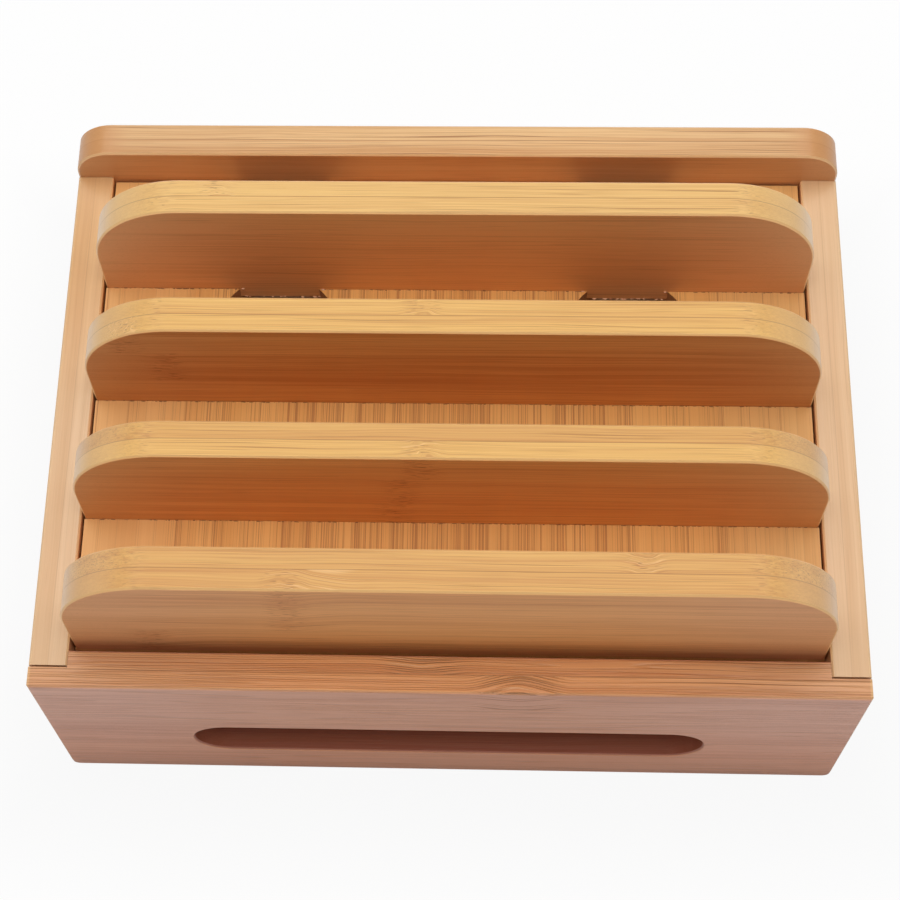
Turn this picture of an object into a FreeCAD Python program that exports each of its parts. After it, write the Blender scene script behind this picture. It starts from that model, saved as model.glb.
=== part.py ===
import FreeCAD, Part
import math
import os
import Sketcher
from FreeCAD import Vector

doc = FreeCAD.newDocument("charging_station")
sizes = doc.addObject("Spreadsheet::Sheet", "sizes")

# Driving dimensions in millimetres, and the number of dividers
driving = {
    "body_width": 258,
    "wall_height": 85,
    "wall_thickness": 12,
    "lap_tongue": 6.6,
    "lap_gap": 0.6,
    "edge_ease": 0.6,
    "lower_edge_radius": 3,
    "back_rise": 14.5,
    "back_corner_radius": 12.5,
    "slot_length": 166,
    "slot_height": 24,
    "slot_centre_height": 33,
    "base_thickness": 5,
    "base_recess": 6,
    "groove_depth": 5,
    "groove_clearance": 0.2,
    "deck_thickness": 10,
    "deck_recess": 2.2,
    "deck_side_clearance": 0.7,
    "deck_front_clearance": 3,
    "deck_back_clearance": 0.8,
    "divider_count": 4,
    "row_width": 30,
    "divider_thickness": 12,
    "front_divider_thickness": 13.6,
    "divider_height": 49.2,
    "divider_corner_radius": 30,
    "dado_depth": 5,
    "dado_clearance": 0.1,
    "cable_hole_diameter": 40,
    "cable_hole_spacing": 116,
    "rail_width": 10,
    "rail_height": 12,
    "rail_end_clearance": 0.3,
    "dowel_diameter": 6,
    "dowel_length": 25,
    "dowel_back_depth": 8,
    "dowel_chamfer": 0.6,
    "dowel_clearance": 0.1,
    "dowel_lower_height": 26,
    "dowel_upper_height": 62,
    "foot_diameter": 10,
    "foot_height": 2,
    "foot_chamfer": 0.6,
    "foot_inset": 7,
}
for row, (name, size) in enumerate(driving.items(), start=1):
    sizes.set(f"A{row}", name)
    sizes.set(f"B{row}", str(size))
    sizes.setAlias(f"B{row}", name)
doc.recompute()

# Places that several pieces share, as formulas over the sheet
divider_pitch = "(sizes.divider_thickness + sizes.row_width)"
inner_depth = f"(sizes.deck_front_clearance + sizes.divider_count * {divider_pitch})"
body_depth = f"({inner_depth} + 2 * sizes.wall_thickness)"
half_width = "sizes.body_width / 2"
half_depth = f"{body_depth} / 2"
inner_half_width = f"({half_width} - sizes.wall_thickness)"
wall_foot = "sizes.foot_height"
groove_bottom = "(sizes.base_recess - sizes.groove_clearance)"
groove_top = "(sizes.base_recess + sizes.base_thickness + sizes.groove_clearance)"
deck_half_width = f"({inner_half_width} - sizes.deck_side_clearance)"
deck_front = f"(sizes.wall_thickness + sizes.deck_front_clearance - {half_depth})"
deck_depth = f"({inner_depth} - sizes.deck_front_clearance - sizes.deck_back_clearance)"
deck_underside = "(sizes.foot_height + sizes.wall_height - sizes.deck_recess - sizes.deck_thickness)"
back_face = f"({half_depth} - sizes.wall_thickness)"
dowel_inset = "sizes.wall_thickness / 2"
dowel_bore = "(sizes.dowel_diameter / 2 + sizes.dowel_clearance)"
dowel_side_depth = "(sizes.dowel_length - sizes.dowel_back_depth)"

tolerance = 1e-4
pieces = []


def new_body(label):
    body = doc.addObject("PartDesign::Body", label)
    body.Label = label
    pieces.append(body)
    return body


def place(body, x="0", y="0", z="0"):
    for axis, formula in zip("xyz", (x, y, z)):
        body.setExpression(f"Placement.Base.{axis}", formula)


def new_sketch(body, plane_role, name, offset="0"):
    sketch = body.newObject("Sketcher::SketchObject", name)
    planes = [feature for feature in body.Origin.OriginFeatures if feature.Role == plane_role]
    sketch.AttachmentSupport = (planes[0], [""])
    sketch.MapMode = "FlatFace"
    sketch.setExpression("AttachmentOffset.Base.z", offset)
    return sketch


def bind(sketch, constraint, formula):
    number = sketch.addConstraint(constraint)
    sketch.setExpression(f"Constraints[{number}]", formula)


# A rectangle between two formulas each way, measured from the sketch's origin
def add_rectangle(sketch, left, right, bottom, top):
    first = sketch.GeometryCount
    corners = [Vector(1, 1, 0), Vector(2, 1, 0), Vector(2, 2, 0), Vector(1, 2, 0)]
    for start, end in zip(corners, corners[1:] + corners[:1]):
        sketch.addGeometry(Part.LineSegment(start, end), False)
    for side in range(4):
        following = first + (side + 1) % 4
        sketch.addConstraint(Sketcher.Constraint("Coincident", first + side, 2, following, 1))
        sketch.addConstraint(Sketcher.Constraint("Vertical" if side % 2 else "Horizontal", first + side))
    bind(sketch, Sketcher.Constraint("DistanceX", -1, 1, first, 1, 1.0), left)
    bind(sketch, Sketcher.Constraint("DistanceX", -1, 1, first, 2, 2.0), right)
    bind(sketch, Sketcher.Constraint("DistanceY", -1, 1, first, 1, 1.0), bottom)
    bind(sketch, Sketcher.Constraint("DistanceY", -1, 1, first + 2, 1, 2.0), top)


def add_circle(sketch, across, along, radius):
    circle = sketch.addGeometry(Part.Circle(Vector(1, 1, 0), Vector(0, 0, 1), 1), False)
    bind(sketch, Sketcher.Constraint("DistanceX", -1, 1, circle, 3, 1.0), across)
    bind(sketch, Sketcher.Constraint("DistanceY", -1, 1, circle, 3, 1.0), along)
    bind(sketch, Sketcher.Constraint("Radius", circle, 1.0), radius)


# A slot with half-round ends, centred on the sketch's vertical axis
def add_slot(sketch, length, height, rise):
    reach, radius = 2.0, 1.0
    normal = Vector(0, 0, 1)
    quarter = math.pi / 2
    right_end = Part.Circle(Vector(reach, reach, 0), normal, radius)
    left_end = Part.Circle(Vector(-reach, reach, 0), normal, radius)
    sketch.addGeometry(Part.ArcOfCircle(right_end, -quarter, quarter), False)
    sketch.addGeometry(Part.ArcOfCircle(left_end, quarter, 3 * quarter), False)
    upper, lower = reach + radius, reach - radius
    sketch.addGeometry(Part.LineSegment(Vector(reach, upper, 0), Vector(-reach, upper, 0)), False)
    sketch.addGeometry(Part.LineSegment(Vector(-reach, lower, 0), Vector(reach, lower, 0)), False)
    for line, line_end, arc, arc_end in ((2, 1, 0, 2), (2, 2, 1, 1), (3, 1, 1, 2), (3, 2, 0, 1)):
        sketch.addConstraint(Sketcher.Constraint("Tangent", line, line_end, arc, arc_end))
    for line in (2, 3):
        sketch.addConstraint(Sketcher.Constraint("Horizontal", line))
    bind(sketch, Sketcher.Constraint("DistanceX", -1, 1, 0, 3, reach), f"({length} - {height}) / 2")
    bind(sketch, Sketcher.Constraint("DistanceX", 1, 3, -1, 1, reach), f"({length} - {height}) / 2")
    bind(sketch, Sketcher.Constraint("DistanceY", -1, 1, 0, 3, reach), rise)
    bind(sketch, Sketcher.Constraint("Radius", 0, radius), f"{height} / 2")


def pad(body, sketch, length, backwards=False):
    feature = body.newObject("PartDesign::Pad", sketch.Name + "_pad")
    feature.Profile = sketch
    feature.setExpression("Length", length)
    feature.Reversed = backwards
    sketch.Visibility = False
    doc.recompute()


# A cut that has to take material away
def pocket(body, sketch, length=None, backwards=False, symmetric=False):
    before = body.Shape.Volume
    feature = body.newObject("PartDesign::Pocket", sketch.Name + "_cut")
    feature.Profile = sketch
    if length:
        feature.setExpression("Length", length)
    else:
        feature.Type = "ThroughAll"
    feature.Midplane = symmetric
    feature.Reversed = backwards
    sketch.Visibility = False
    doc.recompute()
    if body.Shape.Volume > before - tolerance:
        raise RuntimeError(f"{feature.Name} cuts nothing")


def edge_names(shape, wanted):
    return [f"Edge{number}" for number, edge in enumerate(shape.Edges, start=1) if wanted(edge)]


def dress(body, kind, name, setting, formula, wanted):
    tip = body.Tip
    feature = body.newObject(f"PartDesign::{kind}", name)
    feature.Base = (tip, edge_names(tip.Shape, wanted))
    feature.setExpression(setting, formula)
    doc.recompute()


def lies_along(edge, axis):
    box = edge.BoundBox
    spans = {"x": box.XLength, "y": box.YLength, "z": box.ZLength}
    return all((span > tolerance) == (name == axis) for name, span in spans.items())


def in_plane(edge, axis, level):
    box = edge.BoundBox
    low, high = {"x": (box.XMin, box.XMax), "y": (box.YMin, box.YMax), "z": (box.ZMin, box.ZMax)}[axis]
    return abs(low - level) < tolerance and abs(high - level) < tolerance


def make_front_panel():
    body = new_body("front_panel")
    outline = new_sketch(body, "XZ_Plane", "front_outline")
    add_rectangle(outline, f"-{half_width}", half_width, "0", "sizes.wall_height")
    pad(body, outline, "sizes.wall_thickness", backwards=True)
    dress(body, "Fillet", "front_lower_corners", "Radius", "sizes.lower_edge_radius",
          lambda edge: lies_along(edge, "y") and in_plane(edge, "z", 0))

    laps = new_sketch(body, "XY_Plane", "front_laps")
    for side in ("-1", "1"):
        add_rectangle(laps, f"{side} * {inner_half_width}", f"{side} * {half_width}",
                      "sizes.lap_tongue", "sizes.wall_thickness")
    pocket(body, laps, backwards=True)

    groove = new_sketch(body, "YZ_Plane", "front_groove")
    add_rectangle(groove, "sizes.wall_thickness - sizes.groove_depth", "sizes.wall_thickness",
                  groove_bottom, groove_top)
    pocket(body, groove, "sizes.body_width", symmetric=True)

    slot = new_sketch(body, "XZ_Plane", "front_slot")
    add_slot(slot, "sizes.slot_length", "sizes.slot_height", "sizes.slot_centre_height")
    pocket(body, slot)

    top = sizes.wall_height
    slot_top = sizes.slot_centre_height + sizes.slot_height / 2 + tolerance
    slot_bottom = sizes.slot_centre_height - sizes.slot_height / 2 - tolerance

    def is_eased(edge):
        box = edge.BoundBox
        around_slot = slot_bottom < box.ZMin and box.ZMax < slot_top
        on_inner_face = in_plane(edge, "y", sizes.wall_thickness)
        return in_plane(edge, "y", 0) or on_inner_face and (around_slot or in_plane(edge, "z", top))

    dress(body, "Chamfer", "front_eased_edges", "Size", "sizes.edge_ease", is_eased)
    place(body, y=f"-{half_depth}", z=wall_foot)


def make_back_panel():
    body = new_body("back_panel")
    outline = new_sketch(body, "XZ_Plane", "back_outline")
    add_rectangle(outline, f"-{half_width}", half_width, "0", "sizes.wall_height + sizes.back_rise")
    pad(body, outline, "sizes.wall_thickness", backwards=True)
    top = sizes.wall_height + sizes.back_rise
    dress(body, "Fillet", "back_upper_corners", "Radius", "sizes.back_corner_radius",
          lambda edge: lies_along(edge, "y") and in_plane(edge, "z", top))
    dress(body, "Fillet", "back_lower_corners", "Radius", "sizes.lower_edge_radius",
          lambda edge: lies_along(edge, "y") and in_plane(edge, "z", 0))
    dress(body, "Chamfer", "back_eased_edges", "Size", "sizes.edge_ease",
          lambda edge: lies_along(edge, "x") and in_plane(edge, "z", top))

    groove = new_sketch(body, "YZ_Plane", "back_groove")
    add_rectangle(groove, "0", "sizes.groove_depth", groove_bottom, groove_top)
    pocket(body, groove, f"2 * ({inner_half_width} + sizes.groove_depth)", symmetric=True)

    bores = new_sketch(body, "XZ_Plane", "back_dowel_bores")
    for side in ("-1", "1"):
        for height in ("sizes.dowel_lower_height", "sizes.dowel_upper_height"):
            add_circle(bores, f"{side} * ({half_width} - {dowel_inset})", height, dowel_bore)
    pocket(body, bores, "sizes.dowel_back_depth + sizes.dowel_clearance")
    place(body, y=back_face, z=wall_foot)


# Side -1 is the left one; the front end stops a fine open joint short of the lap
def make_side_panel(label, side):
    body = new_body(label)
    length = f"({body_depth} - sizes.lap_tongue - sizes.lap_gap - sizes.wall_thickness)"
    outline = new_sketch(body, "XZ_Plane", label + "_outline")
    add_rectangle(outline, f"{side} * {inner_half_width}", f"{side} * {half_width}", "0", "sizes.wall_height")
    pad(body, outline, length, backwards=True)
    outer = side * sizes.body_width / 2
    dress(body, "Fillet", label + "_lower_edge", "Radius", "sizes.lower_edge_radius",
          lambda edge: lies_along(edge, "y") and in_plane(edge, "z", 0) and in_plane(edge, "x", outer))
    dress(body, "Chamfer", label + "_eased_edges", "Size", "sizes.edge_ease",
          lambda edge: lies_along(edge, "y") and in_plane(edge, "z", sizes.wall_height))

    groove = new_sketch(body, "XZ_Plane", label + "_groove")
    add_rectangle(groove, f"{side} * {inner_half_width}",
                  f"{side} * ({inner_half_width} + sizes.groove_depth)", groove_bottom, groove_top)
    pocket(body, groove)

    bores = new_sketch(body, "XZ_Plane", label + "_dowel_bores", offset=f"-{length}")
    for height in ("sizes.dowel_lower_height", "sizes.dowel_upper_height"):
        add_circle(bores, f"{side} * ({half_width} - {dowel_inset})", height, dowel_bore)
    pocket(body, bores, f"{dowel_side_depth} + sizes.dowel_clearance", backwards=True)
    place(body, y=f"sizes.lap_tongue + sizes.lap_gap - {half_depth}", z=wall_foot)


def make_base_panel():
    body = new_body("base_panel")
    reach = "(sizes.groove_depth - sizes.groove_clearance)"
    outline = new_sketch(body, "XY_Plane", "base_outline")
    add_rectangle(outline, f"-({inner_half_width} + {reach})", f"{inner_half_width} + {reach}",
                  f"-({inner_depth} / 2 + {reach})", f"{inner_depth} / 2 + {reach}")
    pad(body, outline, "sizes.base_thickness")
    place(body, z=f"{wall_foot} + sizes.base_recess")


def make_deck_rail(label, side):
    body = new_body(label)
    section = new_sketch(body, "XZ_Plane", label + "_section")
    add_rectangle(section, f"{side} * ({inner_half_width} - sizes.rail_width)",
                  f"{side} * {inner_half_width}", "-sizes.rail_height", "0")
    pad(body, section, f"{inner_depth} - 2 * sizes.rail_end_clearance", backwards=True)
    place(body, y=f"sizes.wall_thickness + sizes.rail_end_clearance - {half_depth}", z=deck_underside)


def make_back_dowel(label, side, height):
    body = new_body(label)
    section = new_sketch(body, "XZ_Plane", label + "_section")
    add_circle(section, "0", "0", "sizes.dowel_diameter / 2")
    pad(body, section, "sizes.dowel_length", backwards=True)
    ends = (0, sizes.dowel_length)
    dress(body, "Chamfer", label + "_ends", "Size", "sizes.dowel_chamfer",
          lambda edge: any(in_plane(edge, "y", level) for level in ends))
    place(body, f"{side} * ({half_width} - {dowel_inset})", f"{back_face} - {dowel_side_depth}",
          f"{wall_foot} + {height}")


def make_foot(label, side, end):
    body = new_body(label)
    outline = new_sketch(body, "XY_Plane", label + "_outline")
    add_circle(outline, "0", "0", "sizes.foot_diameter / 2")
    pad(body, outline, "sizes.foot_height")
    dress(body, "Chamfer", label + "_rim", "Size", "sizes.foot_chamfer",
          lambda edge: in_plane(edge, "z", 0))
    place(body, f"{side} * ({half_width} - sizes.foot_inset)", f"{end} * ({half_depth} - sizes.foot_inset)")


# The front divider is of thicker stock than the others
def thickness_of(index):
    return "sizes.divider_thickness" if index else "sizes.front_divider_thickness"


# The holes lie in the two rearmost rows and reach under the divider between them
def make_deck_panel():
    body = new_body("deck_panel")
    outline = new_sketch(body, "XY_Plane", "deck_outline")
    add_rectangle(outline, f"-{deck_half_width}", deck_half_width, "0", deck_depth)
    pad(body, outline, "sizes.deck_thickness")

    dados = new_sketch(body, "XY_Plane", "deck_dados", offset="sizes.deck_thickness")
    for index in range(int(sizes.divider_count)):
        front = f"{index} * {divider_pitch}"
        add_rectangle(dados, f"-{deck_half_width}", deck_half_width, f"{front} - sizes.dado_clearance",
                      f"{front} + {thickness_of(index)} + sizes.dado_clearance")
    pocket(body, dados, "sizes.dado_depth")

    for name, rows_behind in (("front", 1), ("back", 0)):
        holes = new_sketch(body, "XY_Plane", f"deck_{name}_cable_holes")
        row_middle = f"(sizes.divider_count - {rows_behind}) * {divider_pitch} - sizes.row_width / 2"
        for side in ("-1", "1"):
            add_circle(holes, f"{side} * sizes.cable_hole_spacing / 2", row_middle,
                       "sizes.cable_hole_diameter / 2")
        pocket(body, holes, backwards=True)
    place(body, y=deck_front, z=deck_underside)


def make_divider(index):
    label = f"divider_{index + 1}"
    body = new_body(label)
    outline = new_sketch(body, "XZ_Plane", label + "_outline")
    add_rectangle(outline, f"-{deck_half_width}", deck_half_width,
                  "-sizes.dado_depth", "sizes.divider_height")
    pad(body, outline, thickness_of(index), backwards=True)
    top = sizes.divider_height
    dress(body, "Fillet", label + "_upper_corners", "Radius", "sizes.divider_corner_radius",
          lambda edge: lies_along(edge, "y") and in_plane(edge, "z", top))
    dress(body, "Chamfer", label + "_eased_edges", "Size", "sizes.edge_ease",
          lambda edge: lies_along(edge, "x") and in_plane(edge, "z", top))
    place(body, y=f"{deck_front} + {index} * {divider_pitch}", z=f"{deck_underside} + sizes.deck_thickness")


make_front_panel()
make_back_panel()
make_base_panel()
for hand, side in (("left", -1), ("right", 1)):
    make_side_panel(f"{hand}_side_panel", side)
    make_deck_rail(f"{hand}_deck_rail", side)
    for level in ("lower", "upper"):
        make_back_dowel(f"back_dowel_{hand}_{level}", side, f"sizes.dowel_{level}_height")
    for name, end in (("front", -1), ("back", 1)):
        make_foot(f"foot_{name}_{hand}", side, end)
make_deck_panel()
for index in range(int(sizes.divider_count)):
    make_divider(index)
doc.recompute()

for item in doc.Objects:
    if "Invalid" in item.State or "Error" in item.State:
        raise RuntimeError(f"{item.Label} failed: {item.State}")

os.makedirs("parts", exist_ok=True)
for piece in pieces:
    if piece.Shape.isNull() or not piece.Shape.isValid():
        raise RuntimeError(f"{piece.Label} has no valid shape")
    piece.Shape.exportStep(f"parts/{piece.Label}.step")
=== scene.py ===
import bpy
from mathutils import Matrix, Vector


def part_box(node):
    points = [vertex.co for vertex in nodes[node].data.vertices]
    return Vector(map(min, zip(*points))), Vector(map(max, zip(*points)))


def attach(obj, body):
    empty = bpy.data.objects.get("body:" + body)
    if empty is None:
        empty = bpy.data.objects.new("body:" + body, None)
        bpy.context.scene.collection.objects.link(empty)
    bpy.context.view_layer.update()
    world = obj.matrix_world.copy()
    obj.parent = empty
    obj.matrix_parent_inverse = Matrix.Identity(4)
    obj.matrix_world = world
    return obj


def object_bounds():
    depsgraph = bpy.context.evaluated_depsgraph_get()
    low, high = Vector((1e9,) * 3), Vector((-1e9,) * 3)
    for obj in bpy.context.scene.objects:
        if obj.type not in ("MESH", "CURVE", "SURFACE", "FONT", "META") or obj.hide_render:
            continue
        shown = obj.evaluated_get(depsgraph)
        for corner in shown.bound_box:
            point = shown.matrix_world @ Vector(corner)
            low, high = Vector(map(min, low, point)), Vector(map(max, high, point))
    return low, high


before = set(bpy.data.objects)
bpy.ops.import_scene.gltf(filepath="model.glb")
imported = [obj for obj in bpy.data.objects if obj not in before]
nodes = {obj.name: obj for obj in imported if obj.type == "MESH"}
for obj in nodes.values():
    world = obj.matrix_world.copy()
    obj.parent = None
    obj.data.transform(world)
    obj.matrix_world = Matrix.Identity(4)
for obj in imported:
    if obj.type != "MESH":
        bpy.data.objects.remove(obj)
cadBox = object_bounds()
print("frame loaded with", len(nodes), "nodes")

mm = 0.001
perMetre = 1000  # millimetres, the unit of every place in a shader
seedStride = 9.7  # how far one step of a seed moves a noise
white = (1.0, 1.0, 1.0, 1)


class Wire:
    # one output in a shader tree; arithmetic on it adds Math nodes
    def __init__(self, finish, socket):
        self.finish = finish
        self.socket = socket

    def math(self, operation, *values):
        return self.finish.add("ShaderNodeMath", {"operation": operation}, dict(enumerate(values)))

    def __add__(self, other):
        return self.math("ADD", self, other)

    def __radd__(self, other):
        return self.math("ADD", other, self)

    def __sub__(self, other):
        return self.math("SUBTRACT", self, other)

    def __rsub__(self, other):
        return self.math("SUBTRACT", other, self)

    def __mul__(self, other):
        return self.math("MULTIPLY", self, other)

    def __truediv__(self, other):
        return self.math("DIVIDE", self, other)

    def __gt__(self, other):
        return self.math("GREATER_THAN", self, other)

    def __lt__(self, other):
        return self.math("LESS_THAN", self, other)

    def __abs__(self):
        return self.math("ABSOLUTE", self)

    def root(self):
        return self.math("SQRT", self)

    def floor(self):
        return self.math("FLOOR", self)

    def least(self, other):
        return self.math("MINIMUM", self, other)

    def most(self, other):
        return self.math("MAXIMUM", self, other)

    # smooth rise from 0 at low to 1 at high
    def rise(self, low, high):
        return self.finish.add("ShaderNodeMapRange", {"interpolation_type": "SMOOTHSTEP"},
                               {"Value": self, "From Min": low, "From Max": high})

    # 1 within low of zero, gone at high
    def near(self, low, high):
        return 1 - abs(self).rise(low, high)


class Finish:
    # a material, or the world, whose shader tree is written as expressions
    def __init__(self, name, world=None):
        self.material = world or bpy.data.materials.new(name)
        self.material.use_nodes = True
        self.tree = self.material.node_tree
        self.surface = self.tree.nodes["Background" if world else "Principled BSDF"]

    def feed(self, socket, value):
        if isinstance(value, Wire):
            self.tree.links.new(value.socket, socket)
        else:
            socket.default_value = value

    # any node: its type, its settings, then the values or links of its sockets
    def add(self, kind, settings=None, sockets=None, output=0):
        node = self.tree.nodes.new(kind)
        for key, value in (settings or {}).items():
            setattr(node, key, value)
        for key, value in (sockets or {}).items():
            self.feed(node.inputs[key], value)
        return Wire(self, node.outputs[output])

    # object coordinates in millimetres
    def place(self):
        point = self.add("ShaderNodeTexCoord", output="Object")
        return [self.add("ShaderNodeSeparateXYZ", None, {0: point}, axis) * perMetre
                for axis in range(3)]

    def vector(self, x, y, z):
        return self.add("ShaderNodeCombineXYZ", None, {0: x, 1: y, 2: z})

    # noise of about 0 to 1, with its own grain size in millimetres each way
    def noise(self, place, grain, seed=0.0, detail=1.0, rough=0.5):
        x, y, z = [axis / size for axis, size in zip(place, grain)]
        return self.add("ShaderNodeTexNoise", {"noise_dimensions": "3D"},
                        {"Vector": self.vector(x + seed * seedStride, y, z), "Scale": 1.0,
                         "Detail": detail, "Roughness": rough})

    # one random number for each pair of numbers
    def chance(self, first, second):
        return self.add("ShaderNodeTexWhiteNoise", {"noise_dimensions": "2D"},
                        {"Vector": self.vector(first, second, 0.0)})

    def blend(self, factor, first, second, kind="MIX"):
        return self.add("ShaderNodeMix",
                        {"data_type": "RGBA", "blend_type": kind, "clamp_factor": True},
                        {0: factor, 6: first, 7: second}, 2)

    def tint(self, factor, colour, by):
        return self.blend(factor, colour, by, "MULTIPLY")

    def bump(self, height, strength, distance):
        return self.add("ShaderNodeBump", None,
                        {"Strength": strength, "Distance": distance, "Height": height})

    # 1 for rays from the camera, and 1 for rays in reflections and through glass
    def seen(self):
        camera, glossy, through = [self.add("ShaderNodeLightPath", output=f"Is {ray} Ray")
                                   for ray in ("Camera", "Glossy", "Transmission")]
        return camera, glossy.most(through)

    # shader that shows the surface where factor is 0 and plain light where it is 1
    def shine(self, factor, light, output):
        surface = Wire(self, self.surface.outputs[0])
        mixed = self.add("ShaderNodeMixShader", None, {0: factor, 1: surface, 2: light})
        self.feed(self.tree.nodes[output].inputs["Surface"], mixed)

    def paint(self, **sockets):
        for name, value in sockets.items():
            self.feed(self.surface.inputs[name.replace("_", " ")], value)
        return self.material


def dress(names, material):
    for name in names:
        for slot in nodes[name].material_slots:
            slot.material = material


# Middle and half size of a node in millimetres
def middle(name):
    low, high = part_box(name)
    return (low + high) / 2 / mm


def halfSize(name):
    low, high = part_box(name)
    return (high - low) / 2 / mm


def named(prefix):
    return sorted(name for name in nodes if name.startswith(prefix))


# Boards pressed from two plies of flat strips. The places run along the grain, through the
# thickness from its middle, and down the strips from the top edge, all in millimetres.
# A grain is a noise's size those three ways, and its From is where the noise begins to show.
plyLook = {
    # strips, and the glue line between the plies
    "stripWidth": 19.0, "stripScatter": 0.3, "stripContrast": 0.25, "plySeed": 13.7,
    "seamLine": (0.04, 0.20), "seamShade": 0.24, "glueGrain": (60, 40, 40), "glueWobble": 0.6,
    "glueLine": (0.07, 0.22), "glueBase": 0.45, "glueShade": 0.55,
    # culm nodes, by ply on the top edge and by strip on the face
    "topNode": (-70.0, 45.0), "faceNode": 20.0, "stripStep": 230.0, "plyStep": 83,
    "nodeScatter": 0.0, "nodeSpacing": 205.0, "nodeReach": 9.0, "nodeShade": 0.12,
    "swirlGrain": (8, 3, 3), "nodeSwirl": 4.5, "swayGrain": (55, 12, 12), "sway": 2.0,
    "nodeHump": (-0.8, -0.8), "nodeStep": 0.0, "stepReach": 22.0,
    "rippleGrain": (170, 2.4, 3.2), "rippleCount": 6.5,
    "growthLine": (0.02, 0.16), "growthFrom": (-0.6, 0.7), "growthShade": 0.18,
    "curlFrom": (0.05, 0.6), "curlPlace": 13, "curlReach": (3.0, 14.0), "curlShare": 0.38,
    # glints are painted highlights on the lit flanks of the ridges at the nodes
    "glintWave": 0.2, "glintLine": (0.02, 0.12), "glint": 0.5, "ridge": 0.5,
    "dashGrain": (4.0, 0.45, 0.5), "dashFrom": (0.58, 0.68), "dashShade": 0.62,
    # long grain
    "fineGrain": (110, 0.5, 0.7), "fineContrast": 1.0, "fineHeight": 0.6, "fineRough": 0.16,
    "broadGrain": (240, 3.0, 4.5), "broadContrast": 0.9,
    "streakGrain": (95, 0.36, 0.5), "streakFrom": (0.60, 0.72), "streakShade": 0.46,
    "streakDepth": 0.3, "fibreGrain": (24, 0.26, 0.34), "fibreFrom": (0.60, 0.76),
    "fibreShade": 0.34, "fibreDepth": 0.4,
    # rounded ends, where the fibres are cut across; their pale tips are partly the end grain's own
    # tone and, on the dividers, a painted sheen
    "endStart": 500.0, "endReach": 14.0, "endFleck": (0.2, 0.2), "endMottle": 0.3, "endSheenFade": 0.0,
    "dotGrain": (1.2, 0.42, 0.42), "dotFrom": (0.58, 0.68), "dotShade": 0.5,
    "paleStart": 500.0, "paleReach": 26.0, "endToneAndSheen": (0.86, 0.635, 0.43, 1), "endToneAndSheenShare": 0.65,
    # tones of plies and faces, and painted shade on lower strips; tints of edge and face, all along
    # and to the ends
    "plyTone": (0.0, 0.0), "lowStripShade": 0.0, "faceDepth": (0.5, 0.1), "faceTone": 0.0,
    "faceCalm": -0.2, "faceClear": 0.0, "faceRough": 0.0, "edgeTint": white, "faceTint": white,
    "sideEdge": white, "sideTint": white, "sideShare": 1.0, "sideSpan": (35.0, 115.0),
    # eased edges, lightened as wear and as a painted highlight; colours and surface
    "arrisFrom": (0.75, 0.55), "arrisTo": 0.06, "wearAndSheen": 0.45,
    "pale": (0.82, 0.44, 0.128, 1), "deep": (0.60, 0.24, 0.05, 1),
    "line": (0.25, 0.085, 0.02, 1), "wornAndSheen": (0.92, 0.62, 0.31, 1),
    "roughness": 0.34, "shadeRough": 0.25, "bump": 0.30, "bumpDepth": 0.12 * mm,
}


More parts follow.
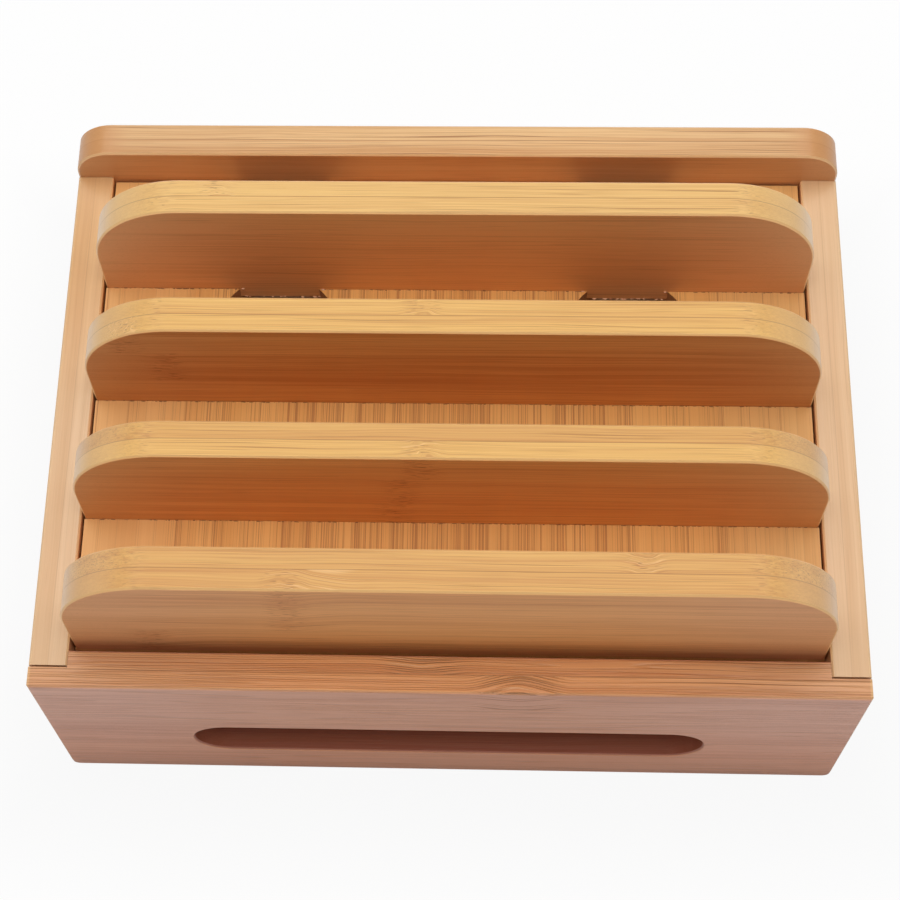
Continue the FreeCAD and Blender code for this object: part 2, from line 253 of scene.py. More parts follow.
def plyBamboo(finish, look, along, through, down, seed, halfThickness, jointLineAndShadow=None, routedAndShaded=None):
    spot = (along, through, down)
    glueSide = through + (finish.noise(spot, look["glueGrain"], seed) - 0.5) * look["glueWobble"]
    ply = glueSide > 0
    plySeed = ply * look["plySeed"] + seed
    strips = down / look["stripWidth"] + finish.chance(plySeed, 1.0) * look["stripScatter"]
    strip = strips.floor()
    inStrip = strips - strip
    rim = abs(through)

    def byPly(values):
        outer, inner = values
        return outer + ply * (inner - outer)

    # rise between two depths under the face
    def under(depths):
        return rim.rise(*[halfThickness - depth for depth in depths])

    def marks(kind, places, seedStep):
        grain = finish.noise(places, look[kind + "Grain"], plySeed + seedStep)
        return grain.rise(*look[kind + "From"])

    # culm nodes: short bands where the fibres swell and cross
    lowerNode = (look["faceNode"] + (strip - 1) * look["stripStep"] + ply * look["plyStep"]
                 + (finish.chance(strip, plySeed + 31) - 0.5) * look["nodeScatter"])
    upperNode = byPly(look["topNode"])
    nodeHere = lowerNode + (strip < 0.5) * (upperNode - lowerNode)
    culms = (along - nodeHere) / look["nodeSpacing"] + 0.5
    fromNode = (culms - culms.floor() - 0.5) * look["nodeSpacing"]
    atNode = fromNode.near(0.0, look["nodeReach"])
    swirl = (finish.noise(spot, look["swirlGrain"], plySeed) - 0.5) * atNode * look["nodeSwirl"]
    sway = ((finish.noise(spot, look["swayGrain"], plySeed + 5) - 0.5) * look["sway"]
            + atNode * byPly(look["nodeHump"])
            + fromNode.rise(0.0, look["stepReach"]) * (1 - ply) * look["nodeStep"])
    onFace = under(look["faceDepth"])
    shift = swirl + sway
    bent = (along, through + shift * (1 - onFace), down + shift * onFace)

    fine = finish.noise(bent, look["fineGrain"], plySeed, detail=2.0, rough=0.6)
    broad = finish.noise(bent, look["broadGrain"], plySeed + 2)
    fleck = byPly(look["endFleck"])
    atEnd = abs(along).rise(look["endStart"], look["endStart"] + look["endReach"])
    calm = 1 - atEnd * (1 - fleck)
    even = 1 - onFace * look["faceCalm"]
    dots = marks("dot", spot, 21) * atEnd * fleck
    streaks = marks("streak", bent, 11) * calm * even * (1 - onFace * look["faceClear"])
    fibres = marks("fibre", bent, 4) * calm
    dashes = marks("dash", spot, 9) * atNode
    ripple = finish.noise(bent, look["rippleGrain"], plySeed + 8, detail=0.0) * look["rippleCount"]
    wave = ripple - ripple.floor() - 0.5
    # growth lines are dark grain lines at the nodes; where a board deepens them they also stand as
    # painted shade on the ridges' shaded flanks
    growth = wave.near(*look["growthLine"]) * atNode.rise(*look["growthFrom"])
    pastNode = (fromNode - look["curlPlace"]).near(*look["curlReach"])
    curl = atNode.rise(*look["curlFrom"]).most(
        pastNode * (1 - ply) * look["nodeStep"] * look["curlShare"])
    # glints: painted highlights on the lit flanks of the grain ridges near the nodes
    glint = (wave - look["glintWave"]).near(*look["glintLine"])
    glint = glint * curl * (1 - onFace) * look["glint"]
    seam = (inStrip.least(1 - inStrip) * look["stripWidth"]).near(*look["seamLine"])
    glue = glueSide.near(*look["glueLine"]) * (look["glueBase"] + fine)

    mottle = (fine - 0.5) * look["fineContrast"] + (broad - 0.5) * look["broadContrast"]
    # strips below the second may be darkened as painted shade
    tone = (0.5 + onFace * look["faceTone"] + byPly(look["plyTone"])
            + (finish.chance(strip, plySeed) - 0.5) * look["stripContrast"]
            + (strip > 1.5) * look["lowStripShade"]
            + mottle * (calm * (1 - look["endMottle"]) + look["endMottle"]) * even
            - atNode * look["nodeShade"])
    shade = (streaks * look["streakShade"]).most(fibres * look["fibreShade"])
    shade = shade.most(growth * look["growthShade"]).most(dashes * look["dashShade"])
    shade = shade.most(seam * look["seamShade"]).most(glue * look["glueShade"])
    shade = shade.most(dots * look["dotShade"])
    colour = finish.blend(shade, finish.blend(tone, look["deep"], look["pale"]), look["line"])
    colour = finish.blend(glint, colour, look["wornAndSheen"])
    colour = finish.tint(1.0, colour, finish.blend(onFace, look["edgeTint"], look["faceTint"]))
    colour = finish.tint(abs(along).rise(*look["sideSpan"]) * look["sideShare"], colour,
                         finish.blend(onFace, look["sideEdge"], look["sideTint"]))

    # tips of the boards' ends: on the dividers a painted sheen of the pale room at the grazing
    # ends, on the other boards the ends' own tone
    tip = abs(along).rise(look["paleStart"], look["paleStart"] + look["paleReach"]) * (1 - onFace)
    paled = tip * look["endToneAndSheenShare"] + atEnd * (1 - onFace) * look["endSheenFade"]
    colour = finish.blend(paled, colour, look["endToneAndSheen"])
    # the eased edge is lightened, partly as wear and partly as a painted highlight on its chamfer
    outermost = rim.rise(halfThickness - look["arrisTo"], halfThickness)
    arris = under(look["arrisFrom"]) * (1 - outermost)
    colour = finish.blend(arris * look["wearAndSheen"], colour, look["wornAndSheen"])
    height = (fine * look["fineHeight"] - streaks * look["streakDepth"]
              - fibres * look["fibreDepth"] + (glint - growth) * look["ridge"])
    # cut walls take the darker cut colour: partly the cut's own tone, partly painted shade inside
    # the recess
    if routedAndShaded:
        colour = finish.blend(routedAndShaded, colour, look["routedAndShaded"])
        height = height * (1 - routedAndShaded)
    # dark joint lines, and on the sides a painted contact shadow
    if jointLineAndShadow:
        colour = finish.blend(jointLineAndShadow, colour, look["line"])
    roughness = (look["roughness"] + onFace * look["faceRough"]
                 + (fine - 0.5) * look["fineRough"] + shade * look["shadeRough"])
    return finish.paint(Base_Color=colour, Roughness=roughness,
                        Normal=finish.bump(height, look["bump"], look["bumpDepth"]))


# The dividers share one finish; each list holds a value for every board, from the front
dividerLook = dict(
    plyLook, seed=2.0, seedStep=7.31,
    frontTone=(-0.12, 0.14, 0.08, 0.16), rearTone=(0.0, -0.26, 0.12, 0.36),
    frontNode=(-47.0, -8.0, -101.0, 300.0), rearNode=(57.0, 300.0, -9.0, -74.0),
    frontHump=(-1.1, -0.9, -0.8, -0.9), rearHump=(1.0, -0.9, -0.8, -0.9),
    frontFleck=0.2, rearFleck=(0.9, 0.6, 0.2, 0.1),
    faceNodes=(-48.0, -14.0, -90.0, 190.0), stripSteps=(-43.0, -3.0, 230.0, 230.0),
    # face tones and tints by board are partly each board's own colour and partly painted light and
    # shade: the front divider's face is painted lighter, and the faces darker and redder than the
    # edges
    nodeSteps=(2.6, 0.0, 0.0, 0.0), faceTones=(0.4, -0.03, -0.2, 0.42),
    endToneAndSheenShares=(0.3, 0.4, 0.4, 0.55),
    edgeTints=((0.98, 0.97, 0.96), (1.0, 1.02, 0.98), (1.0, 1.02, 1.0), (0.98, 1.03, 1.22)),
    faceTints=((1.08, 0.885, 1.18), (1.01, 0.86, 0.95), (1.0, 0.81, 0.86), (1.01, 0.87, 1.15)),
    nodeSpacing=900.0, endStart=84.0, endReach=20.0, endSheenFade=0.22, paleStart=107.0, paleReach=10.0,
    fineContrast=1.6, streakShade=0.6, faceClear=0.65, faceRough=0.2, wearAndSheen=0.6,
    sideTint=(0.98, 1.02, 1.32, 1), wornAndSheen=(0.94, 0.58, 0.24, 1),
    pale=(0.80, 0.46, 0.118, 1), deep=(0.58, 0.25, 0.046, 1))


def finishDividers(look):
    names = named("divider_")
    finish = Finish("dividerBamboo")
    x, y, z = finish.place()
    rows = [middle(name)[1] for name in names]
    pitch = rows[2] - rows[1]
    number = ((y - rows[1]) / pitch + 1.5).floor()

    def byBoard(values):
        total = 0
        for board, value in enumerate(values):
            total = (abs(number - board) < 0.5) * value + total
        return total

    own = {"endFleck": (look["frontFleck"], byBoard(look["rearFleck"]))}
    for key, part in (("plyTone", "Tone"), ("topNode", "Node"), ("nodeHump", "Hump")):
        own[key] = (byBoard(look["front" + part]), byBoard(look["rear" + part]))
    for key in ("faceNode", "stripStep", "nodeStep", "faceTone", "endToneAndSheenShare"):
        own[key] = byBoard(look[key + "s"])
    for key in ("edgeTint", "faceTint"):
        own[key] = finish.vector(*map(byBoard, zip(*look[key + "s"])))
    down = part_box(names[0])[1][2] / mm - z
    seed = number * look["seedStep"] + look["seed"]
    halfThickness = byBoard([halfSize(name)[1] for name in names])
    dress(names, plyBamboo(finish, dict(look, **own), x, y - byBoard(rows), down, seed,
                           halfThickness))


# The front board's face is painted greyer high up and redder low down, as painted sheen and shade;
# its slot walls are painted darker, partly as painted shade, and a line shows beside the steps of
# its laps
frontLook = dict(
    plyLook, seed=51.0, plyTone=(0.06, -0.14), lowStripShade=-0.1,
    nodeSpacing=2000.0, nodeReach=17.0, nodeSwirl=0.8, nodeHump=(-3.2, 1.0), nodeShade=0.0,
    topNode=(22.0, -7.0), faceNode=600.0, growthShade=0.45, dashShade=0.0, glint=0.6, ridge=2.5,
    fineContrast=1.3, streakShade=0.55, faceClear=0.75, faceCalm=0.4, bump=0.8, wearAndSheen=0.2,
    faceTint=(0.97, 0.98, 1.49, 1), lowShadeTint=(1.11, 1.0, 1.3, 1), lowShadeSpan=(25, 80),
    sideTint=(1.06, 1.185, 1.47, 1), sideEdge=(0.90, 0.98, 1.15, 1),
    paleStart=128.0, paleReach=0.6, endToneAndSheen=(0.74, 0.46, 0.20, 1), endToneAndSheenShare=0.6,
    pale=(0.86, 0.41, 0.149, 1), deep=(0.58, 0.205, 0.065, 1), wornAndSheen=(0.86, 0.50, 0.26, 1),
    routedAndShaded=(0.33, 0.082, 0.05, 1), routedAndShadedShare=0.85,
    slotHalf=(84.0, 12.0), slotHeight=35.0, slotRim=0.4, slotSlack=0.7)
# the step lines beside the laps are dark joints; the back line is a painted contact shadow where
# the sides meet the back board
jointLook = {
    "stepLine": (0.04, 0.2), "stepStart": 0.8, "stepShade": 0.85,
    "backShadowLine": (0.16, 0.36), "backShadow": 0.5,
}


def finishFront(look):
    board, side = "front_panel", "right_side_panel"
    finish = Finish("frontBamboo")
    x, y, z = finish.place()
    besideStep = (abs(x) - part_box(side)[0][0] / mm).near(*jointLook["stepLine"])
    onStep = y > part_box(side)[0][1] / mm - jointLook["stepStart"]
    jointLineAndShadow = besideStep * onStep * jointLook["stepShade"]
    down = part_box(board)[1][2] / mm - z
    through, half = y - middle(board)[1], halfSize(board)[1]
    inside = abs(through).near(half - look["slotRim"], half)
    slotLength, slotWidth = look["slotHalf"]
    atSlot = (abs(x) < slotLength) * (abs(z - look["slotHeight"]) < slotWidth + look["slotSlack"])
    # the slot's walls are painted darker, partly as painted shade
    routedAndShaded = inside * atSlot * look["routedAndShadedShare"]
    # the face is tinted by height: greyer high up and redder low down, a painted sheen and shade
    faceTint = finish.blend(down.rise(*look["lowShadeSpan"]), look["faceTint"], look["lowShadeTint"])
    dress([board], plyBamboo(finish, dict(look, faceTint=faceTint), x, through, down,
                             look["seed"], half, jointLineAndShadow, routedAndShaded))


backLook = dict(
    plyLook, seed=77.0, plyTone=(-0.05, 0.15), nodeSpacing=2000.0, topNode=(-600.0, 600.0),
    faceNode=-40.0, stripStep=0.0, nodeScatter=260.0, endStart=108.0,
    paleStart=108.0, paleReach=14.0, endToneAndSheen=(0.57, 0.26, 0.094, 1), endToneAndSheenShare=0.8,
    fineContrast=1.9, broadContrast=1.9, streakShade=0.8, faceCalm=0.65,
    sideEdge=(0.95, 0.93, 0.95, 1), faceTint=(1.0, 0.88, 0.95, 1),
    pale=(0.77, 0.485, 0.215, 1), deep=(0.58, 0.285, 0.092, 1))


def finishBack(look):
    board = "back_panel"
    finish = Finish("backBamboo")
    x, y, z = finish.place()
    dress([board], plyBamboo(finish, look, x, y - middle(board)[1],
                             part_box(board)[1][2] / mm - z, look["seed"], halfSize(board)[1]))


# The left side grows warmer towards the back: sideSpan lets its tint in everywhere, and
# warmSpan places it
warmTint = (0.92, 0.79, 0.57, 1)
sideLook = dict(
    plyLook, seed=90.0, seedStep=17.3, plyTone=(-0.08, 0.12), topNode=(150.0, -160.0),
    nodeSpacing=420.0, fineContrast=0.7, streakShade=0.16, fibreShade=0.14, growthShade=0.08,
    glueShade=0.22, paleStart=55.0, paleReach=30.0, endToneAndSheen=(0.66, 0.40, 0.20, 1), endToneAndSheenShare=0.4,
    faceTint=(0.98, 0.84, 0.74, 1), sideTint=warmTint, sideEdge=warmTint, sideSpan=(-2.0, -1.0),
    warmSpan=(-15.0, 50.0), pale=(0.80, 0.54, 0.31, 1), deep=(0.66, 0.39, 0.185, 1))


def finishSides(look):
    left, right = "left_side_panel", "right_side_panel"
    finish = Finish("sideBamboo")
    x, y, z = finish.place()
    low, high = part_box(left)
    # painted contact shadow along the sides' back ends, where they meet the back board
    jointLineAndShadow = (y - high[1] / mm).near(*jointLook["backShadowLine"]) * jointLook["backShadow"]
    look = dict(look, sideShare=(x < 0) * y.rise(*look["warmSpan"]))
    dress([left, right], plyBamboo(finish, look, y, middle(right)[0] - abs(x), high[2] / mm - z,
                                   (x > 0) * look["seedStep"] + look["seed"], halfSize(left)[0],
                                   jointLineAndShadow))


# Deck of narrow strips on edge, running from front to back; the cut walls of its cable holes are
# painted dark, partly as painted shade.
# Its grains run along the strips, across them and through the board.
deckLook = {
    "seed": 5.0, "stripWidth": 6.2, "driftGrain": (900, 17, 40), "stripDrift": 3.0,
    "stripContrast": 0.34, "seamLine": (0.05, 0.22), "seamShade": 0.16,
    "fieldGrain": (260, 26, 60), "fieldContrast": 0.5, "fieldDense": 0.25, "outerDense": 0.13,
    "lineGrain": (170, 0.36, 1.2), "lineFrom": (0.66, 0.74), "lineShade": 0.64,
    "hairGrain": (60, 0.22, 0.5), "hairFrom": (0.62, 0.76), "hairShade": 0.48,
    "fineGrain": (90, 0.5, 0.8), "fineContrast": 0.6, "fineHeight": 0.5,
    "edgeCalm": 0.08, "calmSpan": (68.0, 108.0), "endSpan": (-0.4, -0.1), "endCalm": 0.65,
    "pale": (0.92, 0.53, 0.163, 1), "deep": (0.75, 0.365, 0.09, 1), "line": (0.36, 0.125, 0.035, 1),
    "leftTint": (1.0, 1.02, 1.26, 1), "rightTint": (0.91, 0.93, 1.08, 1),
    "routedAndShaded": (0.24, 0.075, 0.035, 1), "routedAndShadedShare": 0.7, "topSpan": (-0.5, -0.2),
    "holeRadius": 20.0, "wallSpan": (0.1, 0.3), "holeReach": 58.0, "holeRows": (28.5, 70.5),
    "roughness": 0.5, "shadeRough": 0.2, "bump": 0.4, "bumpDepth": 0.15 * mm,
}


def stripBamboo(finish, look, along, across, through, routedAndShaded=None, ends=None):
    spot, seed = (along, across, through), look["seed"]
    drift = (finish.noise(spot, look["driftGrain"], seed) - 0.5) * look["stripDrift"]
    strips = (across + drift) / look["stripWidth"]
    strip = strips.floor()
    inStrip = strips - strip
    turned = finish.chance(strip, seed + 3.0) > 0.5
    outer = inStrip + turned * (1 - inStrip * 2)
    field = finish.noise(spot, look["fieldGrain"], seed + 4)
    toSide = abs(across).rise(*look["calmSpan"])
    dense = (outer * look["outerDense"] + (field - 0.5) * look["fieldDense"]
             - toSide * look["edgeCalm"])
    lines = (finish.noise(spot, look["lineGrain"], seed + 1) + dense).rise(*look["lineFrom"])
    hairs = (finish.noise(spot, look["hairGrain"], seed + 6) + dense).rise(*look["hairFrom"])
    fine = finish.noise(spot, look["fineGrain"], seed + 2, detail=2.0, rough=0.6)
    seam = (inStrip.least(1 - inStrip) * look["stripWidth"]).near(*look["seamLine"])
    shade = (lines * look["lineShade"]).most(hairs * look["hairShade"])
    shade = shade.most(seam * look["seamShade"])
    height = fine * look["fineHeight"] - shade
    if ends:
        shade = shade * (1 - ends * look["endCalm"])
        height = height * (1 - ends)
    tone = (0.5 + (finish.chance(strip, seed) - 0.5) * look["stripContrast"]
            - (field - 0.5) * look["fieldContrast"] + (fine - 0.5) * look["fineContrast"])
    colour = finish.blend(shade, finish.blend(tone, look["deep"], look["pale"]), look["line"])
    colour = finish.tint(toSide, colour,
                         finish.blend(across > 0, look["leftTint"], look["rightTint"]))
    # cut walls take the darker cut colour, partly painted shade inside the hole
    if routedAndShaded:
        colour = finish.blend(routedAndShaded, colour, look["routedAndShaded"])
    return finish.paint(Base_Color=colour, Roughness=look["roughness"] + shade * look["shadeRough"],
                        Normal=finish.bump(height, look["bump"], look["bumpDepth"]))


def finishDeck(look):
    board = "deck_panel"
    finish = Finish("deckBamboo")
    x, y, z = finish.place()
    fromHole = abs(x) - look["holeReach"]
    front, rear = [((y - row) * (y - row) + fromHole * fromHole).root() for row in look["holeRows"]]
    # the walls of the cable holes are painted darker, partly as painted shade
    wall = 1 - front.least(rear).rise(*[look["holeRadius"] + step for step in look["wallSpan"]])
    below = 1 - (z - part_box(board)[1][2] / mm).rise(*look["topSpan"])
    ends = (abs(y - middle(board)[1]) - halfSize(board)[1]).rise(*look["endSpan"])
    dress([board], stripBamboo(finish, look, y, x, z, wall * below * look["routedAndShadedShare"], ends))


baseLook = dict(deckLook, seed=21.0, stripWidth=18.0, lineShade=0.35, edgeCalm=0.0,
                pale=(0.50, 0.27, 0.14, 1), deep=(0.37, 0.18, 0.085, 1))
railLook = dict(deckLook, seed=33.0, stripWidth=5.0, roughness=0.6, edgeCalm=0.0,
                pale=(0.66, 0.38, 0.16, 1), deep=(0.48, 0.25, 0.09, 1))
dowelLook = {
    "pieces": "back_dowel_", "seed": 4.0, "grain": (0.5, 30, 0.5), "roughness": 0.55,
    "skinRough": 0.2, "bump": 0.4, "bumpDepth": 0.1 * mm,
    "dark": (0.52, 0.34, 0.18, 1), "light": (0.72, 0.54, 0.34, 1),
}
footLook = dict(dowelLook, pieces="foot_", grain=(0.35, 0.35, 0.35), roughness=0.6,
                dark=(0.018, 0.018, 0.019, 1), light=(0.045, 0.044, 0.043, 1))


def finishHidden():
    finish = Finish("baseBamboo")
    x, y, z = finish.place()
    dress(["base_panel"], stripBamboo(finish, baseLook, x, y, z))
    finish = Finish("railBamboo")
    x, y, z = finish.place()
    dress(["left_deck_rail", "right_deck_rail"], stripBamboo(finish, railLook, y, z, x))
    for name, look in (("dowelWood", dowelLook), ("footRubber", footLook)):
        finish = Finish(name)
        skin = finish.noise(finish.place(), look["grain"], look["seed"], detail=3.0, rough=0.6)
        dress(named(look["pieces"]), finish.paint(
            Base_Color=finish.blend(skin, look["dark"], look["light"]),
            Roughness=look["roughness"] + skin * look["skinRough"],
            Normal=finish.bump(skin, look["bump"], look["bumpDepth"])))


finishDividers(dividerLook)
finishFront(frontLook)
finishBack(backLook)
finishSides(sideLook)
finishDeck(deckLook)
finishHidden()
print("boards finished")

# Torn fibres along the housings: the saw lifts slivers where each divider enters the deck
sliverLook = {
    "seed": 7, "spacing": 1.1 * mm, "drift": Vector((1.2, 0.16, 0.02)) * mm, "turn": 0.12,
    "least": Vector((0.25, 0.06, 0.03)) * mm, "most": Vector((1.0, 0.22, 0.07)) * mm, "share": 0.72,
    "grain": (2.0, 0.8, 0.8), "grainSeed": 3.0, "lightFrom": (0.50, 0.68), "roughness": 0.8,
    "dark": (0.24, 0.09, 0.03, 1), "light": (0.55, 0.27, 0.09, 1),
}
# pale chips hang where a cable hole bares a divider's lower edge, and at the hole's sharp corners
chipLook = dict(
    sliverLook, seed=19, spacing=1.5 * mm, drift=Vector((1.0, 0.1, 0.1)) * mm, turn=0.5,
    least=Vector((0.3, 0.25, 0.15)) * mm, most=Vector((1.0, 0.5, 0.35)) * mm, share=0.6,
    lightFrom=(0.40, 0.55), dark=(0.45, 0.20, 0.10, 1), light=(0.78, 0.50, 0.30, 1))
# where the slivers lie; the rows are divider faces with a cable hole in front of them or behind
housingLook = {
    "offset": 0.12, "holeHalf": 13.6, "holeReach": 58.0, "openRows": (13.5, 43.5, 55.5),
    "rowSlack": 0.5 * mm, "frontClear": 1 * mm, "endClear": 2 * mm, "chipReach": mm,
}


def sliverFinish(name, look):
    finish = Finish(name)
    tint = finish.noise(finish.place(), look["grain"], look["grainSeed"]).rise(*look["lightFrom"])
    return finish.paint(Base_Color=finish.blend(tint, look["dark"], look["light"]),
                        Roughness=look["roughness"])


# Lines beside both faces of every divider: on the deck, and where cable holes cut the deck away
def housingLines(look):
    housings, holes = [], []
    deckFront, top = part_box("deck_panel")[0][1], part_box("deck_panel")[1][2]
    reach, half = look["holeReach"] * mm, look["holeHalf"] * mm
    clear, chip = look["endClear"], look["chipReach"]
    for name in named("divider_"):
        low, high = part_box(name)
        for y, outward in ((low[1], -1), (high[1], 1)):
            if y - deckFront < look["frontClear"]:
                continue
            beside = y + outward * look["offset"] * mm

            def line(start, end, height):
                return (start, beside, height), (end, beside, height)

            spans = [(low[0], high[0])]
            if any(abs(y - row * mm) < look["rowSlack"] for row in look["openRows"]):
                spans = [(low[0], -reach - half), (half - reach, reach - half),
                         (reach + half, high[0])]
                for side in (-reach, reach):
                    holes.append(line(side - half + chip, side + half - chip, low[2]))
                    for corner in (side - half, side + half):
                        holes.append(line(corner - chip, corner + chip, top))
            for start, end in spans:
                housings.append(line(start + clear, end - clear, top))
    return housings, holes


def sliverTree():
    tree = bpy.data.node_groups.new("tornFibres", "GeometryNodeTree")
    seeds = {"keep": 3, "size": 5, "turn": 11}
    sockets = {}
    for name, kind in (("Lines", "Geometry"), ("Spacing", "Float"), ("Drift", "Vector"),
                       ("Least", "Vector"), ("Most", "Vector"), ("Turn", "Float"),
                       ("Share", "Float"), ("Seed", "Int"), ("Finish", "Material")):
        sockets[name] = tree.interface.new_socket(name, in_out="INPUT",
                                                  socket_type="NodeSocket" + kind)
    tree.interface.new_socket("Slivers", in_out="OUTPUT", socket_type="NodeSocketGeometry")

    def add(kind, settings=None, inputs=None):
        node = tree.nodes.new(kind)
        for key, value in (settings or {}).items():
            setattr(node, key, value)
        for key, value in (inputs or {}).items():
            if isinstance(value, bpy.types.NodeSocket):
                tree.links.new(value, node.inputs[key])
            else:
                node.inputs[key].default_value = value
        return node

    given = add("NodeGroupInput").outputs
    curves = add("GeometryNodeMeshToCurve", None, {"Mesh": given["Lines"]})
    points = add("GeometryNodeCurveToPoints", {"mode": "LENGTH"},
                 {"Curve": curves.outputs[0], "Length": given["Spacing"]})
    back = add("ShaderNodeVectorMath", {"operation": "SCALE"}, {0: given["Drift"], "Scale": -1.0})
    drift = add("FunctionNodeRandomValue", {"data_type": "FLOAT_VECTOR"},
                {0: back.outputs[0], 1: given["Drift"], "Seed": given["Seed"]})
    moved = add("GeometryNodeSetPosition", None,
                {"Geometry": points.outputs[0], "Offset": drift.outputs[0]})
    keep = add("FunctionNodeRandomValue", {"data_type": "BOOLEAN"},
               {"Probability": given["Share"], "Seed": seeds["keep"]})
    size = add("FunctionNodeRandomValue", {"data_type": "FLOAT_VECTOR"},
               {0: given["Least"], 1: given["Most"], "Seed": seeds["size"]})
    minus = add("ShaderNodeMath", {"operation": "MULTIPLY"}, {0: given["Turn"], 1: -1.0})
    turn = add("FunctionNodeRandomValue", {"data_type": "FLOAT"},
               {2: minus.outputs[0], 3: given["Turn"], "Seed": seeds["turn"]})
    angle = add("ShaderNodeCombineXYZ", None, {2: turn.outputs[1]})
    sliver = add("GeometryNodeMeshIcoSphere", None, {"Radius": 1.0, "Subdivisions": 1})
    placed = add("GeometryNodeInstanceOnPoints", None,
                 {"Points": moved.outputs[0], "Selection": keep.outputs[3],
                  "Instance": sliver.outputs[0], "Rotation": angle.outputs[0],
                  "Scale": size.outputs[0]})
    solid = add("GeometryNodeRealizeInstances", None, {"Geometry": placed.outputs[0]})
    painted = add("GeometryNodeSetMaterial", None,
                  {"Geometry": solid.outputs[0], "Material": given["Finish"]})
    add("NodeGroupOutput", None, {0: painted.outputs[0]})
    return tree, sockets


def makeSlivers(name, look, lines, tree, sockets):
    points = [point for line in lines for point in line]
    guide = bpy.data.meshes.new("housingLines")
    guide.from_pydata(points, [(end - 1, end) for end in range(1, len(points), 2)], [])
    maker = bpy.data.objects.new("housingLines", guide)
    bpy.context.scene.collection.objects.link(maker)
    modifier = maker.modifiers.new("tornFibres", "NODES")
    modifier.node_group = tree
    for key in ("spacing", "drift", "least", "most", "turn", "share", "seed"):
        modifier[sockets[key.title()].identifier] = look[key]
    modifier[sockets["Finish"].identifier] = sliverFinish(name, look)
    depsgraph = bpy.context.evaluated_depsgraph_get()
    shape = bpy.data.meshes.new_from_object(maker.evaluated_get(depsgraph))
    bpy.data.objects.remove(maker)
    slivers = bpy.data.objects.new(name, shape)
    bpy.context.scene.collection.objects.link(slivers)
    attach(slivers, "deck")
    print(name, "has", len(shape.polygons), "faces")


sliverNodes = sliverTree()
alongHousings, atHoles = housingLines(housingLook)
makeSlivers("torn_fibres", sliverLook, alongHousings, *sliverNodes)
makeSlivers("hole_chips", chipLook, atHoles, *sliverNodes)

# The camera stands where the photograph's edges put it, in the frame's millimetres
cameraLook = {
    "place": Vector((8.376, -289.746, 689.680)),
    "ahead": Vector((-0.04181, 0.41279, -0.90987)),
    "right": Vector((0.99907, 0.02685, -0.03373)),
    "focalPixels": 2063.4, "centrePixel": (390.0, 450.0), "imagePixels": 900.0, "sensor": 36.0,
}


def standCamera(look):
    data = bpy.data.cameras.new("camera")
    camera = bpy.data.objects.new("camera", data)
    bpy.context.scene.collection.objects.link(camera)
    ahead = look["ahead"].normalized()
    right = (look["right"] - ahead * look["right"].dot(ahead)).normalized()
    up = right.cross(ahead)
    turn = Matrix((right, up, -ahead)).transposed().to_4x4()
    camera.matrix_world = Matrix.Translation(look["place"] * mm) @ turn
    data.sensor_width = look["sensor"]
    data.lens = look["focalPixels"] / look["imagePixels"] * look["sensor"]
    half = look["imagePixels"] / 2
    data.shift_x = (half - look["centrePixel"][0]) / look["imagePixels"]
    data.shift_y = (look["centrePixel"][1] - half) / look["imagePixels"]
    bpy.context.scene.camera = camera
    print("camera stands at", [round(value, 4) for value in camera.location])


# White paper, a wide soft light overhead, weak ones at the front and both sides, a pale room.
# Close to the part the paper is painted darker as a painted shadow, so it throws back less light,
# and the paper seen in gloss is painted darker there too.
stageLook = {
    "floorSize": 30.0, "floorColour": (0.9, 0.9, 0.9, 1), "paintedShadowColour": (0.3, 0.3, 0.3, 1),
    "floorRough": 0.9, "floorWhite": 0.93, "floorShine": 1.0, "paintedShadowShine": 0.3,
    "shadeReach": 60.0, "clearSpan": (60.0, 420.0), "worldLight": 0.07, "roomShine": 0.6,
}
lampLook = (
    {"name": "softboxTop", "place": (0.0, 0.18, 1.25), "aim": (0.0, 0.1, 0.1),
     "size": 1.6, "watts": 18.3},
    {"name": "softboxLeft", "place": (-1.1, 0.1, 0.5), "aim": (0.0, 0.0, 0.1),
     "size": 0.8, "watts": 1.6},
    {"name": "softboxRight", "place": (1.1, 0.1, 0.5), "aim": (0.0, 0.0, 0.1),
     "size": 0.8, "watts": 1.6},
    {"name": "softboxFront", "place": (0.0, -1.05, 0.75), "aim": (0.0, -0.05, 0.09),
     "size": 0.9, "watts": 1.6},
)


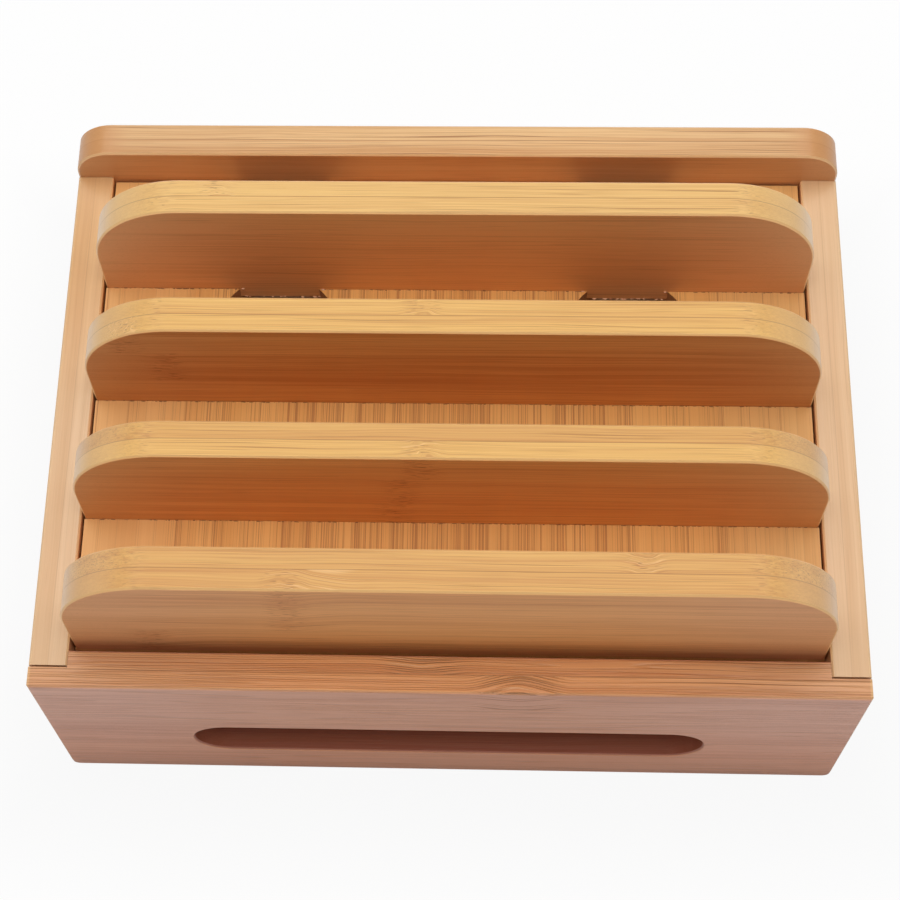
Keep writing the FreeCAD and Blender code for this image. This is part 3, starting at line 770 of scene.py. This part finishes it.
def layFloor(look):
    half = look["floorSize"] / 2
    mesh = bpy.data.meshes.new("floor")
    corners = [(-half, -half, 0), (half, -half, 0), (half, half, 0), (-half, half, 0)]
    mesh.from_pydata(corners, [], [(0, 1, 2, 3)])
    floor = bpy.data.objects.new("floor", mesh)
    bpy.context.scene.collection.objects.link(floor)
    finish = Finish("floorPaper")
    x, y, z = finish.place()
    beside = (abs(x) - cadBox[1][0] / mm).most(abs(y) - cadBox[1][1] / mm)
    # paper near the part is painted dark: a painted shadow that also cuts its bounce
    away = beside.rise(0.0, look["shadeReach"])
    finish.paint(Base_Color=finish.blend(away, look["paintedShadowColour"], look["floorColour"]),
                 Roughness=look["floorRough"])
    # the white seen in gloss is painted darker near the part: a painted shadow in the reflection
    shine = (away * (1 - look["paintedShadowShine"]) + look["paintedShadowShine"]) * look["floorShine"]
    clear = beside.rise(*look["clearSpan"]) * (1 - look["floorWhite"]) + look["floorWhite"]
    camera, mirrored = finish.seen()
    light = finish.add("ShaderNodeEmission", None, {"Color": white, "Strength": 1.0})
    finish.shine((camera * clear).most(mirrored * shine), light, "Material Output")
    mesh.materials.append(finish.material)


def hangLamps(lamps):
    for lamp in lamps:
        data = bpy.data.lights.new(lamp["name"], "AREA")
        data.shape = "SQUARE"
        data.size = lamp["size"]
        data.energy = lamp["watts"]
        place, aim = Vector(lamp["place"]), Vector(lamp["aim"])
        softbox = bpy.data.objects.new(lamp["name"], data)
        softbox.location = place
        softbox.rotation_euler = (aim - place).to_track_quat("-Z", "Y").to_euler()
        bpy.context.scene.collection.objects.link(softbox)


def lightWorld(look):
    world = bpy.data.worlds.new("paleRoom")
    bpy.context.scene.world = world
    finish = Finish("paleRoom", world)
    finish.paint(Color=white, Strength=look["worldLight"])
    camera, mirrored = finish.seen()
    light = finish.add("ShaderNodeBackground", None, {"Color": white, "Strength": 1.0})
    finish.shine(camera.most(mirrored * look["roomShine"]), light, "World Output")


standCamera(cameraLook)
layFloor(stageLook)
hangLamps(lampLook)
lightWorld(stageLook)
bpy.context.scene.view_settings.view_transform = "Standard"
print("stage set")
